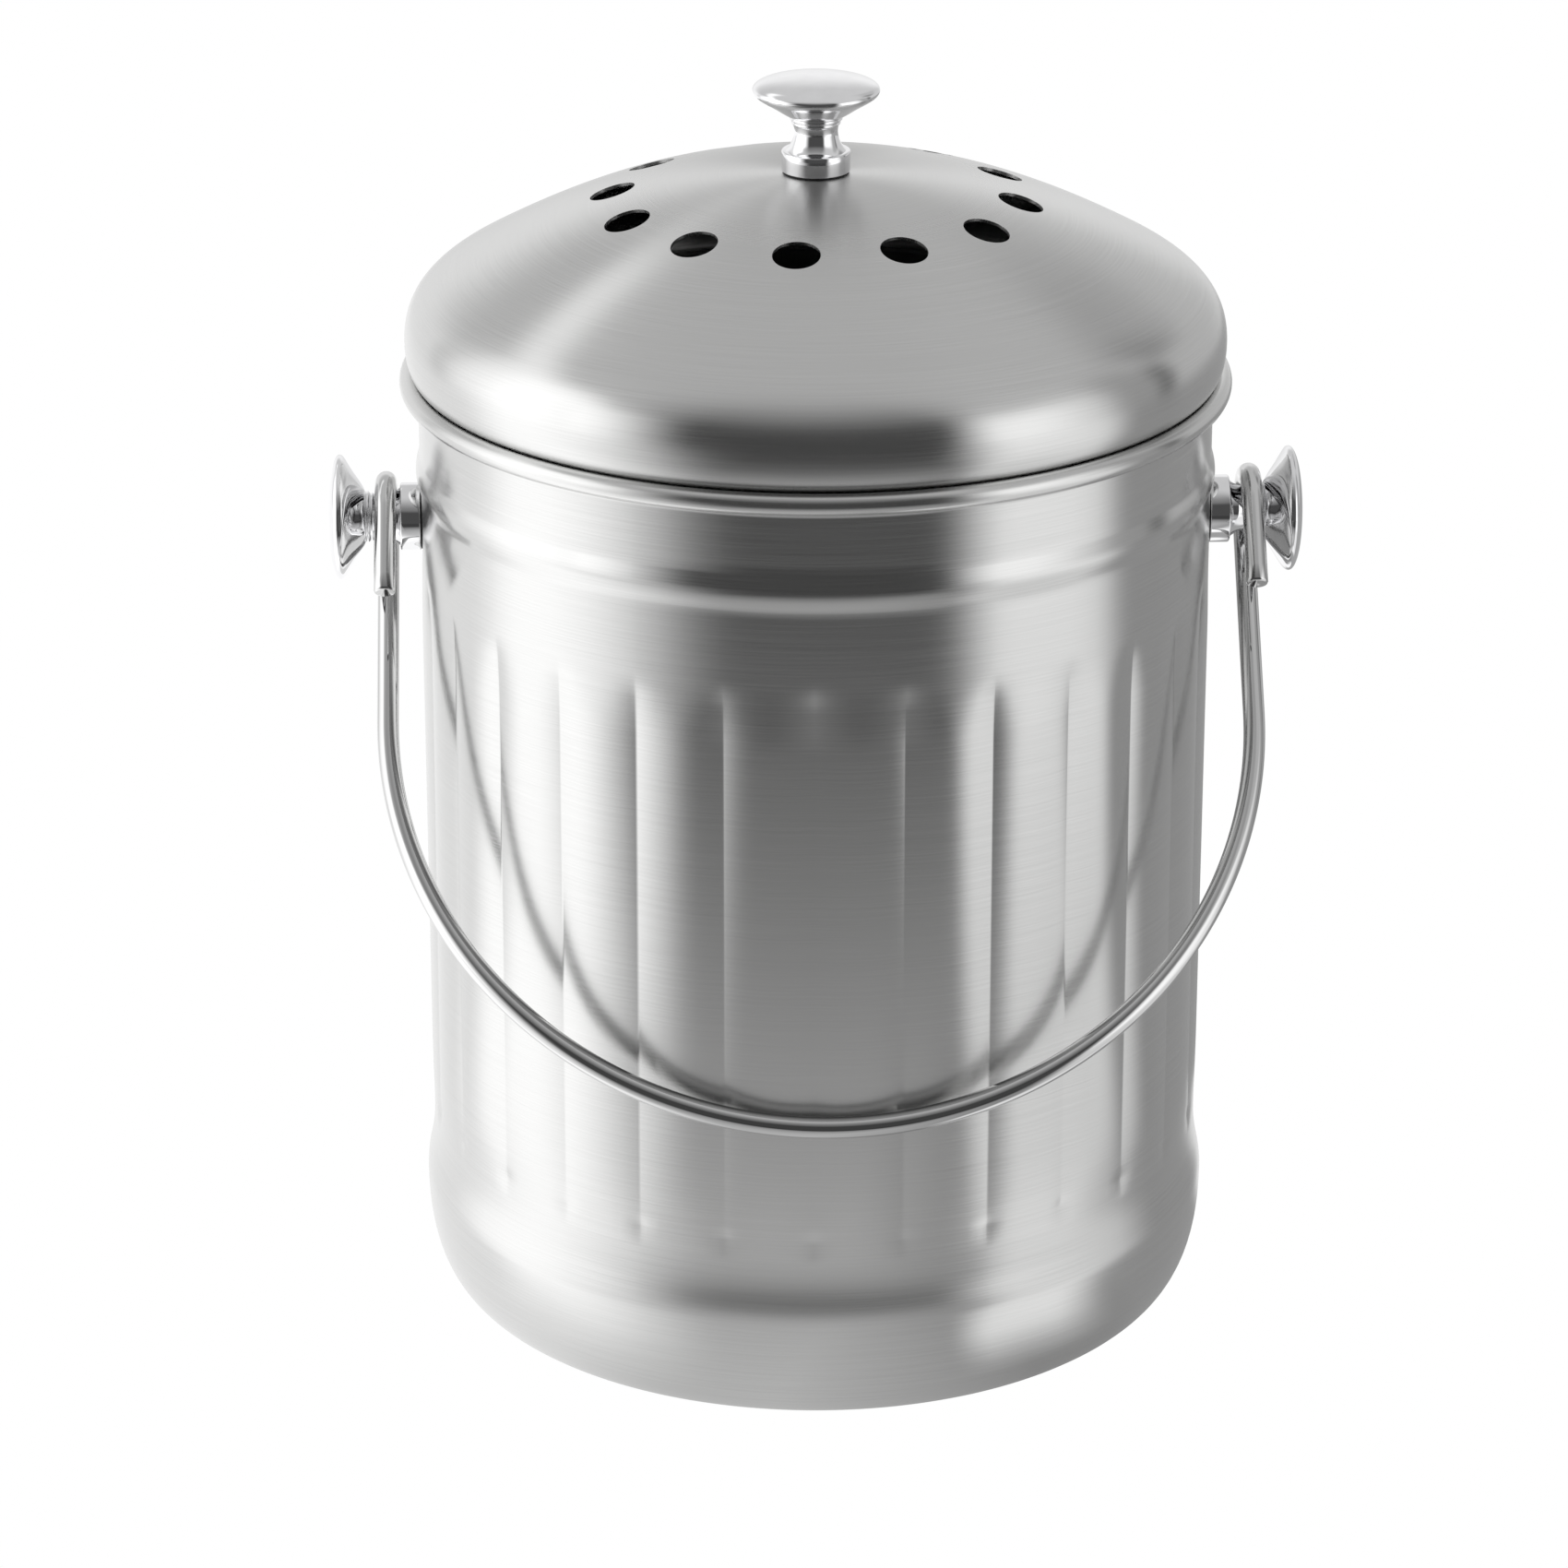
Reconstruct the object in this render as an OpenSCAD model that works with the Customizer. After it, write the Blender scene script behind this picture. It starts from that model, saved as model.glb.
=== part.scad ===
/* [Pail] */
// Outer radius of the plain upper wall
wall_r = 90.8; // [80:0.1:110]
// Thickness of the drawn sheet
sheet_t = 0.7; // [0.5:0.1:1]
// Height from the floor to the top of the rolled rim
body_h = 225.4; // [200:0.1:300]
// Radius of the rolled rim in section
rim_roll_r = 2.45; // [1.5:0.05:3.5]
// Height of the ring bead's middle, down from the top of the rim
bead_drop = 23.6; // [18:0.1:24]
// Width of the ring bead, up and down the wall
bead_w = 10.5; // [6:0.5:13]
// How far the ring bead stands out of the wall
bead_out = 0.9; // [0.4:0.1:1.2]

/* [Pail base] */
// How far the edge of the ring that the pail stands on lies inside the wall
foot_in = 9.8; // [8:0.1:15]
// How far the raised middle of the floor lies inside the wall
recess_in = 20.8; // [20:0.1:50]
// Height of the raised middle above the stand
recess_h = 1.5; // [0.5:0.1:3]
// How far the base's flat ring clears the table, so that the ring's outer edge carries the pail
foot_rise = 0.2; // [0.1:0.05:0.25]
// How far the swelling above the base stands out of the wall
bulge_out = 1.9; // [0.5:0.1:2.5]
// Height of the swelling's widest place
bulge_z = 26; // [20:1:30]

/* [Fluted panels] */
// Number of upright creases
flute_n = 28; // [20:1:36]
// Height where the creases start
flute_z0 = 43; // [38:1:60]
// Distance from the top of the rim down to where the creases end
flute_drop = 47.5; // [47:0.5:90]
// How far the panels' crowns stand out of the wall
flute_out = 0.25; // [0.1:0.05:0.4]
// Depth of a crease below the crowns
flute_depth = 0.7; // [0.3:0.1:0.9]
// Turn of the first crease from the front, towards the right knob
flute_turn = -2.1; // [-6:0.1:6]

/* [Lid] */
// How far the widest place of the dome stands out of the pail's wall
lid_out = 2.8; // [2:0.1:3.5]
// Height of the dome above its own edge
lid_h = 45.25; // [38:0.05:60]
// How far the shoulder's start lies inside the widest place
shoulder_in = 14; // [8:0.5:20]
// Fall of the dome over its run where the shoulder starts
shoulder_slope = 0.55; // [0.4:0.01:0.7]
// Height of the dome's widest place above its edge
widest_h = 7.5; // [6:0.1:9]
// How far a vent hole's middle lies below the dome's top
vent_drop = 6.15; // [5:0.05:8]
// Fall of the dome over its run at the vent holes, as an angle
vent_slope = 18; // [10:0.5:25]
// How far the dome's edge sits below the top of the rim
lid_sink = 0.2; // [0.1:0.05:0.3]
// Thickness of the dome's sheet
lid_t = 0.7; // [0.5:0.1:1]
// Number of vent holes
vent_n = 12; // [6:1:16]
// Diameter of a vent hole
vent_d = 10.7; // [6:0.1:12]
// Radius of the ring of vent holes
vent_ring_r = 46.35; // [36:0.05:56]
// Turn of the first vent hole from the front, towards the right knob
vent_turn = -7.3; // [-15:0.1:15]

/* [Lid skirt] */
// Gap between the skirt and the mouth of the pail
skirt_gap = 0.6; // [0.4:0.1:1.5]
// Thickness of the skirt's sheet
skirt_t = 0.6; // [0.4:0.1:1]
// Depth of the skirt below the dome's edge
skirt_h = 13; // [12:0.5:24]
// Depth of the step that the filter tray stops against
stop_drop = 3.4; // [2.5:0.1:6]
// Width of that step
stop_w = 1.5; // [1:0.1:3]

/* [Charcoal filter] */
// Gap between the filter tray and the skirt
tray_gap = 0.3; // [0.2:0.05:0.6]
// Thickness of the tray's wall and of its bars
tray_t = 2; // [1.5:0.1:3]
// Depth of the tray
tray_h = 12; // [10:0.5:18]
// Thickness of the filter pad
filter_t = 8; // [4:0.5:9]
// Gap around the filter pad
filter_gap = 0.5; // [0.2:0.1:2]
// Number of spokes in the tray's grate
spoke_n = 8; // [4:1:12]
// Width of a spoke
spoke_w = 3; // [2:0.5:5]
// Radius of the grate's middle ring
grate_ring_r = 46; // [30:1:60]
// Radius of the grate's hub
hub_r = 11; // [9.5:0.5:16]
// Width of the pull tab
tab_w = 18; // [12:1:18]
// Height of the pull tab
tab_h = 12; // [11:0.5:18]

/* [Knobs] */
// Height of the side knobs' axis, down from the top of the rim
hinge_drop = 36.1; // [35.5:0.1:37]
// Radius of the flat pad that a side knob stands on
pad_r = 8.2; // [8:0.1:8.6]
// How far the flat pads lie below the wall's surface
pad_sink = 0.5; // [0.3:0.05:0.6]
// Height of a knob
knob_h = 21.5; // [20:0.1:26]
// Radius of a knob's disc
knob_r = 14.5; // [12:0.1:17]
// Radius of a knob's foot collar
collar_r = 7.8; // [7:0.1:7.8]
// Height of a knob's foot collar
collar_h = 4.7; // [3:0.1:4.8]
// Smallest radius of a knob's neck
neck_r = 4.9; // [4.5:0.1:5]
// Height of the ring under a knob's disc
neck_top = 12.4; // [12:0.1:13]

/* [Knob fasteners] */
// Diameter of the screws
screw_d = 5; // [4:0.5:5]
// Gap around a screw's shank in the knob's bore
thread_gap = 0.05; // [0.05:0.01:0.1]
// Depth of a screw in its knob
screw_grip = 9; // [6:0.5:12]
// Radius of a screw's head
head_r = 4.6; // [4:0.1:5.5]
// Height of a screw's head
head_h = 3.2; // [2.5:0.1:4]
// Thickness of the dark gasket under a knob
gasket_t = 0.5; // [0.3:0.1:1]
// Radius of the gasket
gasket_r = 7.5; // [6:0.1:7.8]
// Thickness of a steel washer
washer_t = 1; // [0.6:0.1:1.5]
// Radius of a steel washer
washer_r = 7; // [6:0.1:7.8]
// Gap around a screw in sheet, gasket and washer
hole_gap = 0.3; // [0.1:0.05:0.5]

/* [Bail handle] */
// Diameter of the wire
wire_d = 5; // [4:0.1:5.4]
// How far the bail is pushed towards the right knob
bail_shift = 0.7; // [0:0.1:0.9]
// Distance from the knobs' axis to the grip's middle, along the bail
bail_reach = 146.3; // [130:0.1:170]
// Inner radius of a hook
hook_r = 8; // [7:0.1:10]
// Gap between a hook's crown and the neck that it hangs on
hook_gap = 0.35; // [0.3:0.05:0.5]
// Length of a hook's short leg below the knobs' axis
leg_len = 24; // [14:0.5:40]
// Gap between the resting grip and the panels' crowns
rest_gap = 0.4; // [0.3:0.05:1]

/* [Hidden] */
$fn = 96;

mouth_r = wall_r - sheet_t;
rim_r = mouth_r + rim_roll_r;
rim_z = body_h - rim_roll_r;
bead_z = body_h - bead_drop;
bulge_r = wall_r + bulge_out;
flute_z1 = body_h - flute_drop;
foot_r = wall_r - foot_in;
recess_r = wall_r - recess_in;
foot_step = recess_h - foot_rise;
lip_w = 1.5;
ramp_w = min(5.5, (foot_r - lip_w - recess_r) * 0.8);
crown_r = wall_r + flute_out;
crease_r = crown_r - flute_depth;
blend_z = flute_z0 + 3;
joggle = 0.4;

lid_z = body_h - lid_sink;
dome_r = wall_r + lid_out;
apex_z = lid_z + lid_h;
apex_flat_r = collar_r + 0.4;
shoulder_r = dome_r - shoulder_in;
shoulder_z = lid_z + lid_h * 0.55;
widest_z = lid_z + widest_h;
shoulder_pull = (dome_r - shoulder_r) / 2;
crown_pull = (shoulder_r - apex_flat_r) * 0.35;
edge_r = rim_r - 1.5;
skirt_out_r = mouth_r - skirt_gap;
skirt_in_r = skirt_out_r - skirt_t;
step_in_r = skirt_in_r - stop_w;
hem_in_r = step_in_r + skirt_t;
stop_z = lid_z - stop_drop;

tray_r = skirt_in_r - tray_gap;
tray_top_z = stop_z - tray_gap / 2;
tray_z = tray_top_z - tray_h;
filter_r = tray_r - tray_t - filter_gap;
filter_z = tray_z + tray_t;

hinge_z = body_h - hinge_drop;
pad_x = wall_r - pad_sink;
knob_x = pad_x + gasket_t;
screw_r = screw_d / 2;
bore_r = screw_r + thread_gap;
hole_r = screw_r + hole_gap;
bore_h = screw_grip + 1.5;

wire_r = wire_d / 2;
hook_c = hook_r + wire_r;
hook_drop = hook_r - neck_r - hook_gap;
half_span = knob_x + (collar_h + neck_top) / 2;
arc_drop = bail_reach - half_span;
grip_far = sqrt(pow(bail_reach, 2) + pow(hook_c, 2));
rest_y = crown_r + rest_gap + wire_r;
rest_tilt = asin(rest_y / grip_far) + atan(hook_c / bail_reach);

// Points of a cubic curve through p[0] and p[3], pulled towards p[1] and p[2]
function curve(p, n) = [
    for (i = [0:n]) let (t = i / n, s = 1 - t)
        s * s * s * p[0] + 3 * s * s * t * p[1] + 3 * s * t * t * p[2] + t * t * t * p[3]
];

// A list without its first point, so that two curves join without a double
function tail(points) = [for (i = [1:len(points) - 1]) points[i]];

// Direction of an outline at point i, from its two neighbours
function along(points, i) =
    let (
        a = points[max(i - 1, 0)],
        b = points[min(i + 1, len(points) - 1)],
        d = b - a
    ) d / norm(d);

// An outline moved t to its left
function moved(points, t) = [
    for (i = [0:len(points) - 1])
        let (d = along(points, i)) points[i] + t * [-d[1], d[0]]
];

// Section of a sheet whose outer face follows the outline, with its wall on the left
module sheet_section(points, t) {
    back = moved(points, t);
    polygon(concat(points, [for (i = [len(back) - 1:-1:0]) back[i]]));
}

base_outline = concat(
    [[0, recess_h], [recess_r, recess_h], [recess_r + ramp_w * 0.27, foot_rise + foot_step * 0.8],
     [recess_r + ramp_w * 0.73, foot_rise + foot_step * 0.15], [recess_r + ramp_w, foot_rise],
     [foot_r - lip_w, foot_rise]],
    curve([[foot_r, 0], [foot_r + 6.5, 0], [bulge_r, bulge_z * 0.31], [bulge_r, bulge_z]], 12),
    tail(curve([[bulge_r, bulge_z], [bulge_r, bulge_z + 8],
        [wall_r + 0.1, blend_z - 11], [wall_r, blend_z]], 8))
);

bead_outline = [
    for (i = [0:12])
        let (u = i / 6 - 1)
        [wall_r + bead_out * pow(cos(90 * u), 1.4), bead_z + u * bead_w / 2]
];

wall_outline = concat(
    [[wall_r, flute_z1 - 1]],
    bead_outline,
    [[wall_r, rim_z]]
);

// One turn of the fluted wall: panels crowned outwards, meeting in sharp creases
function flute_ring(crown, crease) = [
    for (k = [0:flute_n - 1], j = [0:5])
        let (
            u = j / 6,
            a = flute_turn + (k + u) * 360 / flute_n - 90,
            r = crease + (crown - crease) * (1 - pow(abs(2 * u - 1), 2))
        )
        r * [cos(a), sin(a)]
];

module pail_shell() {
    rotate_extrude() sheet_section(base_outline, sheet_t);
    rotate_extrude() sheet_section(wall_outline, sheet_t);
    translate([0, 0, flute_z0])
        linear_extrude(flute_z1 - flute_z0)
            difference() {
                polygon(flute_ring(crown_r, crease_r));
                polygon(flute_ring(crown_r - sheet_t, crease_r - sheet_t));
            }
    rotate_extrude()
        translate([rim_r, rim_z])
            difference() {
                circle(rim_roll_r, $fn = 48);
                circle(rim_roll_r - sheet_t, $fn = 48);
            }
}

// A shape made along +Z from the origin, turned to stand on the left or right pad
module at_pad(side, x) {
    translate([side * x, 0, hinge_z]) rotate([0, side * 90, 0]) children();
}

module pail_body() {
    color("silver")
        difference() {
            union() {
                difference() {
                    pail_shell();
                    for (side = [-1, 1])
                        at_pad(side, pad_x - 5) cylinder(h = 10, r = pad_r);
                }
                for (side = [-1, 1])
                    at_pad(side, pad_x - sheet_t) cylinder(h = sheet_t, r = pad_r + joggle);
            }
            for (side = [-1, 1])
                at_pad(side, pad_x - 5) cylinder(h = 10, r = hole_r);
        }
}

dome_outline = concat(
    [[hem_in_r, lid_z]],
    curve([[edge_r, lid_z], [edge_r + 2, lid_z + 0.7],
        [dome_r, widest_z - 3.5], [dome_r, widest_z]], 8),
    tail(curve([[dome_r, widest_z], [dome_r, widest_z + (shoulder_z - widest_z) * 0.58],
        [shoulder_r + shoulder_pull, shoulder_z - shoulder_pull * shoulder_slope],
        [shoulder_r, shoulder_z]], 8)),
    tail(curve([[shoulder_r, shoulder_z],
        [shoulder_r - crown_pull, shoulder_z + crown_pull * shoulder_slope],
        [apex_flat_r + crown_pull, apex_z], [apex_flat_r, apex_z]], 14)),
    [[0, apex_z]]
);

module lid_dome() {
    color("silver")
        difference() {
            rotate_extrude() sheet_section(dome_outline, lid_t);
            for (k = [0:vent_n - 1])
                rotate([0, 0, vent_turn - 90 + k * 360 / vent_n])
                    translate([vent_ring_r, 0, apex_z - vent_drop])
                        rotate([0, vent_slope, 0])
                            cylinder(h = 8, d = vent_d, center = true, $fn = 48);
            translate([0, 0, apex_z - 5]) cylinder(h = 10, r = hole_r);
        }
}

module lid_skirt() {
    flange_z = lid_z + lid_t;
    color("gainsboro")
        rotate_extrude()
            polygon([
                [skirt_out_r, lid_z - skirt_h],
                [skirt_out_r, stop_z + skirt_t],
                [step_in_r + skirt_t, stop_z + skirt_t],
                [step_in_r + skirt_t, flange_z],
                [edge_r - 0.8, flange_z],
                [edge_r - 0.8, flange_z + skirt_t],
                [step_in_r, flange_z + skirt_t],
                [step_in_r, stop_z],
                [skirt_in_r, stop_z],
                [skirt_in_r, lid_z - skirt_h]
            ]);
}

module flat_ring(outer, inner, h) {
    difference() {
        cylinder(h = h, r = outer);
        translate([0, 0, -1]) cylinder(h = h + 2, r = inner);
    }
}

module pull_tab() {
    round_r = tab_w / 2;
    finger_r = round_r - 2 * tray_t;
    intersection() {
        translate([0, tray_t / 2, -tab_h + round_r])
            rotate([90, 0, 0])
                difference() {
                    union() {
                        cylinder(h = tray_t, r = round_r);
                        translate([-round_r, 0, 0]) cube([tab_w, tab_h, tray_t]);
                    }
                    translate([0, 0, -1]) cylinder(h = tray_t + 2, r = finger_r);
                }
        translate([-tab_w, -tab_w, -tab_h]) cube([2 * tab_w, 2 * tab_w, tab_h + tray_t / 2]);
    }
}

module filter_tray() {
    color("dimgray")
        translate([0, 0, tray_z]) {
            flat_ring(tray_r, tray_r - tray_t, tray_h);
            flat_ring(tray_r, tray_r - 7, tray_t);
            flat_ring(grate_ring_r + spoke_w / 2, grate_ring_r - spoke_w / 2, tray_t);
            cylinder(h = tray_t, r = hub_r);
            for (k = [0:spoke_n - 1])
                rotate([0, 0, (k + 0.5) * 360 / spoke_n])
                    translate([0, -spoke_w / 2, 0])
                        cube([tray_r - 2 * tray_t, spoke_w, tray_t]);
            pull_tab();
        }
}

module charcoal_filter() {
    color("black")
        translate([0, 0, filter_z]) cylinder(h = filter_t, r = filter_r);
}

neck_outline = curve([[collar_r - 0.5, collar_h], [neck_r + 0.1, collar_h + 0.6],
    [neck_r - 0.6, collar_h + 4.3], [neck_r + 0.45, neck_top]], 10);

disc_outline = concat(
    [[neck_r + 0.95, neck_top + 0.3], [neck_r + 1.1, neck_top + 0.9]],
    curve([[neck_r + 1.4, neck_top + 1.2], [knob_r - 4.5, knob_h - 4.9],
        [knob_r - 1.2, knob_h - 4.5], [knob_r - 0.35, knob_h - 3.8]], 8),
    tail(curve([[knob_r - 0.35, knob_h - 3.8], [knob_r + 0.15, knob_h - 3.2],
        [knob_r + 0.05, knob_h - 2.3], [knob_r - 1.2, knob_h - 1.6]], 6)),
    tail(curve([[knob_r - 1.2, knob_h - 1.6], [knob_r - 4, knob_h - 0.4],
        [knob_r / 2, knob_h], [0, knob_h]], 8))
);

// A knob along +Z: foot collar, waisted neck, ring and crowned disc, bored from below
module knob() {
    color("gainsboro")
        difference() {
            rotate_extrude()
                polygon(concat(
                    [[0, 0], [collar_r - 0.3, 0], [collar_r, 0.3],
                     [collar_r, collar_h - 0.4], [collar_r - 0.4, collar_h]],
                    neck_outline,
                    disc_outline
                ));
            translate([0, 0, -1]) cylinder(h = bore_h + 1, r = bore_r);
        }
}

module gasket() {
    color([0.08, 0.08, 0.08]) flat_ring(gasket_r, hole_r, gasket_t);
}

module washer() {
    color("lightgray") flat_ring(washer_r, hole_r, washer_t);
}

// A screw whose head's upper face is at the origin and whose shank points up
module screw() {
    slot_w = 1.2;
    slot_l = head_r * 1.1;
    slot_h = head_h * 0.55;
    shank = washer_t + sheet_t + gasket_t + screw_grip;
    color("darkgray")
        difference() {
            union() {
                cylinder(h = shank, r = screw_r);
                rotate_extrude()
                    polygon(concat(
                        [[0, 0]],
                        curve([[head_r, 0], [head_r, -head_h * 0.6],
                            [head_r * 0.6, -head_h], [0, -head_h]], 8)
                    ));
            }
            for (turn = [0, 90])
                rotate([0, 0, turn])
                    translate([-slot_l / 2, -slot_w / 2, -head_h - 1])
                        cube([slot_l, slot_w, slot_h + 1]);
        }
}

module on_lid(z) {
    translate([0, 0, z]) children();
}

module left_knob() { at_pad(-1, knob_x) knob(); }
module left_knob_gasket() { at_pad(-1, pad_x) gasket(); }
module left_knob_washer() { at_pad(-1, pad_x - sheet_t - washer_t) washer(); }
module left_knob_screw() { at_pad(-1, pad_x - sheet_t - washer_t) screw(); }

module right_knob() { at_pad(1, knob_x) knob(); }
module right_knob_gasket() { at_pad(1, pad_x) gasket(); }
module right_knob_washer() { at_pad(1, pad_x - sheet_t - washer_t) washer(); }
module right_knob_screw() { at_pad(1, pad_x - sheet_t - washer_t) screw(); }

module lid_knob() { on_lid(apex_z + gasket_t) knob(); }
module lid_knob_gasket() { on_lid(apex_z) gasket(); }
module lid_knob_washer() { on_lid(apex_z - lid_t - washer_t) washer(); }
module lid_knob_screw() { on_lid(apex_z - lid_t - washer_t) screw(); }

// One hook: a half turn of wire over the neck, a short cut leg in front and the long leg behind
module hook(x) {
    translate([x, 0, -hook_drop]) {
        rotate([0, -90, 0])
            rotate([0, 0, -90])
                rotate_extrude(angle = 180)
                    translate([hook_c, 0]) circle(wire_r, $fn = 48);
        translate([0, -hook_c, hook_drop - leg_len + 0.6])
            cylinder(h = leg_len - 0.6 - hook_drop, r = wire_r, $fn = 48);
        translate([0, -hook_c, hook_drop - leg_len])
            cylinder(h = 0.6, r1 = wire_r - 0.6, r2 = wire_r, $fn = 48);
        translate([0, hook_c, hook_drop - arc_drop])
            cylinder(h = arc_drop - hook_drop, r = wire_r, $fn = 48);
    }
}

module bail_handle() {
    color("silver")
        translate([bail_shift, 0, hinge_z])
            rotate([-rest_tilt, 0, 0]) {
                hook(-half_span);
                hook(half_span);
                translate([0, hook_c, -arc_drop])
                    rotate([90, 0, 0])
                        rotate([0, 0, 180])
                            rotate_extrude(angle = 180, $fn = 144)
                                translate([half_span, 0]) circle(wire_r, $fn = 48);
            }
}

pail_body();
lid_dome();
lid_skirt();
filter_tray();
charcoal_filter();
lid_knob();
lid_knob_gasket();
lid_knob_washer();
lid_knob_screw();
left_knob();
left_knob_gasket();
left_knob_washer();
left_knob_screw();
right_knob();
right_knob_gasket();
right_knob_washer();
right_knob_screw();
bail_handle();
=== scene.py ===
import math

import bpy
import numpy as np
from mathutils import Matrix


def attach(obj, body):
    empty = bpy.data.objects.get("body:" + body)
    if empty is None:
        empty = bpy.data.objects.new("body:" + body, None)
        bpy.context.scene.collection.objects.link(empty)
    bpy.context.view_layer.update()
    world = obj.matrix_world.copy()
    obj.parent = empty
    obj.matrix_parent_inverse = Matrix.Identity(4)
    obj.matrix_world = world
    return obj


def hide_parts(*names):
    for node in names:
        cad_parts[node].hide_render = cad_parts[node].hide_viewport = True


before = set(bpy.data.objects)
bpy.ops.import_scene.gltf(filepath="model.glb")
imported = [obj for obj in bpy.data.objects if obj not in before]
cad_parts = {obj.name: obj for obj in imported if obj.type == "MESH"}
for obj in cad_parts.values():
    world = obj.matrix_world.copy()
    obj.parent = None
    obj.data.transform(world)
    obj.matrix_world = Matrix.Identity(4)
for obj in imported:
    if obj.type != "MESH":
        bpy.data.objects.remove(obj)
mm = 0.001
fullTurn = 2 * math.pi


# Mesh tools. Sizes in the dictionaries are millimetres, and meshes are built in metres.

def smooth(x, low, high):
    # From 0 at low to 1 at high along three t squared less two t cubed, so it starts and ends level
    t = np.clip((x - low) / (high - low), 0, 1)
    return t * t * (3 - 2 * t)


def curve(points, count):
    # Cubic curve through the first and last point, pulled towards the two between
    p = np.array(points, float)
    t = np.linspace(0, 1, count + 1)[:, None]
    return (1 - t) ** 3 * p[0] + 3 * (1 - t) ** 2 * t * p[1] + 3 * (1 - t) * t ** 2 * p[2] + t ** 3 * p[3]


def joined(*parts):
    # One outline from several, without a point that repeats the one before it
    points = np.concatenate([np.atleast_2d(np.array(p, float)) for p in parts])
    keep = np.ones(len(points), bool)
    keep[1:] = np.linalg.norm(np.diff(points, axis=0), axis=1) > 1e-7
    return points[keep]


def movedLeft(points, distance):
    # An outline moved sideways, square to its direction at each point
    along = np.gradient(points, axis=0)
    along /= np.linalg.norm(along, axis=1)[:, None]
    return points + distance * np.stack([-along[:, 1], along[:, 0]], 1)


def pathLength(points):
    # Distance along the outline from its first point to each point
    steps = np.linalg.norm(np.diff(points, axis=0), axis=1)
    return np.concatenate([[0], np.cumsum(steps)])


def ringAngles(count, turn=0.0):
    # The last angle has the first one's sine and cosine, so the seam closes exactly
    return np.append(np.arange(count), 0) * fullTurn / count + turn


def lathe(outline, count, turn=0.0):
    # Surface of revolution: x = r cos a, y = r sin a, z from the outline
    a = ringAngles(count, turn)
    r, z = outline[:, :1], outline[:, 1:]
    return np.stack([r * np.cos(a), r * np.sin(a), z + 0 * a], 2)


def addPiece(name, patches, body, nodes, smoothAngle=None, around=None):
    # Welds grids of points into one mesh. A patch is (points, path length at each point) in millimetres
    points = np.concatenate([p.reshape(-1, 3) for p, _ in patches])
    path = np.concatenate([np.broadcast_to(s, p.shape[:2]).ravel() for p, s in patches])
    quads, first = [], 0
    for p, _ in patches:
        rows, columns = p.shape[:2]
        index = first + np.arange(rows * columns).reshape(rows, columns)
        corners = [index[:-1, :-1], index[:-1, 1:], index[1:, 1:], index[1:, :-1]]
        quads.append(np.stack(corners, 2).reshape(-1, 4))
        first += rows * columns
    _, kept, place = np.unique(np.round(points, 4), axis=0, return_index=True, return_inverse=True)
    quads = place.ravel()[np.concatenate(quads)]
    repeats = quads == np.roll(quads, -1, axis=1)
    whole = quads[~repeats.any(1)]
    faces = whole.tolist()
    for side in range(4):
        rows = repeats[:, side] & (repeats.sum(1) == 1)
        faces += np.delete(quads[rows], side, axis=1).tolist()
    mesh = bpy.data.meshes.new(name)
    mesh.from_pydata((points[kept] * mm).tolist(), [], faces)
    mesh.shade_smooth()
    attribute = mesh.attributes.new("path", "FLOAT", "POINT")
    attribute.data.foreach_set("value", (path[kept] * mm).astype(np.float32))
    if around is not None:
        attribute = mesh.attributes.new("around", "FLOAT_VECTOR", "POINT")
        attribute.data.foreach_set("vector", around.reshape(-1, 3)[kept].ravel().astype(np.float32))
    if smoothAngle is not None:
        mesh.set_sharp_from_angle(angle=math.radians(smoothAngle))
    piece = bpy.data.objects.new(name, mesh)
    bpy.context.scene.collection.objects.link(piece)
    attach(piece, body)
    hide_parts(*nodes)
    return piece


# Material tools

def newMaterial(name):
    # An empty material, and a function that adds a node to it and sets or links the node's inputs
    material = bpy.data.materials.new(name)
    material.use_nodes = True
    tree = material.node_tree
    tree.nodes.clear()

    def add(kind, inputs=None, **settings):
        node = tree.nodes.new(kind)
        for key, value in settings.items():
            setattr(node, key, value)
        for key, value in (inputs or {}).items():
            if isinstance(value, bpy.types.NodeSocket):
                tree.links.new(value, node.inputs[key])
            else:
                node.inputs[key].default_value = value
        return node

    return material, add


def streaks(add, across, along, detail=2.0):
    # Noise drawn out round the upright axis: slow in x and y, quick in the path length over the sheet
    place = add("ShaderNodeTexCoord").outputs["Object"]
    path = add("ShaderNodeAttribute", attribute_name="path").outputs["Fac"]
    split = add("ShaderNodeSeparateXYZ", {0: place})
    x = add("ShaderNodeMath", {0: split.outputs[0], 1: along}, operation="MULTIPLY").outputs[0]
    y = add("ShaderNodeMath", {0: split.outputs[1], 1: along}, operation="MULTIPLY").outputs[0]
    s = add("ShaderNodeMath", {0: path, 1: across}, operation="MULTIPLY").outputs[0]
    where = add("ShaderNodeCombineXYZ", {0: x, 1: y, 2: s}).outputs[0]
    noise = add("ShaderNodeTexNoise", {"Vector": where, "Scale": 1.0, "Detail": detail, "Roughness": 0.6})
    return noise.outputs[0]


def toRange(add, value, low, high):
    # Noise keeps to the middle of its range, so a quarter to three quarters is spread over low to high
    return add("ShaderNodeMapRange", {"Value": value, "From Min": 0.25, "From Max": 0.75,
                                      "To Min": low, "To Max": high}).outputs[0]


def finishMaterial(add, colour, values, normal=None, tangent=None):
    inputs = {"Base Color": colour}
    inputs.update(values)
    if normal is not None:
        inputs["Normal"] = normal
    if tangent is not None:
        inputs["Tangent"] = tangent
    shader = add("ShaderNodeBsdfPrincipled", inputs)
    add("ShaderNodeOutputMaterial", {"Surface": shader.outputs[0]})


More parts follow.
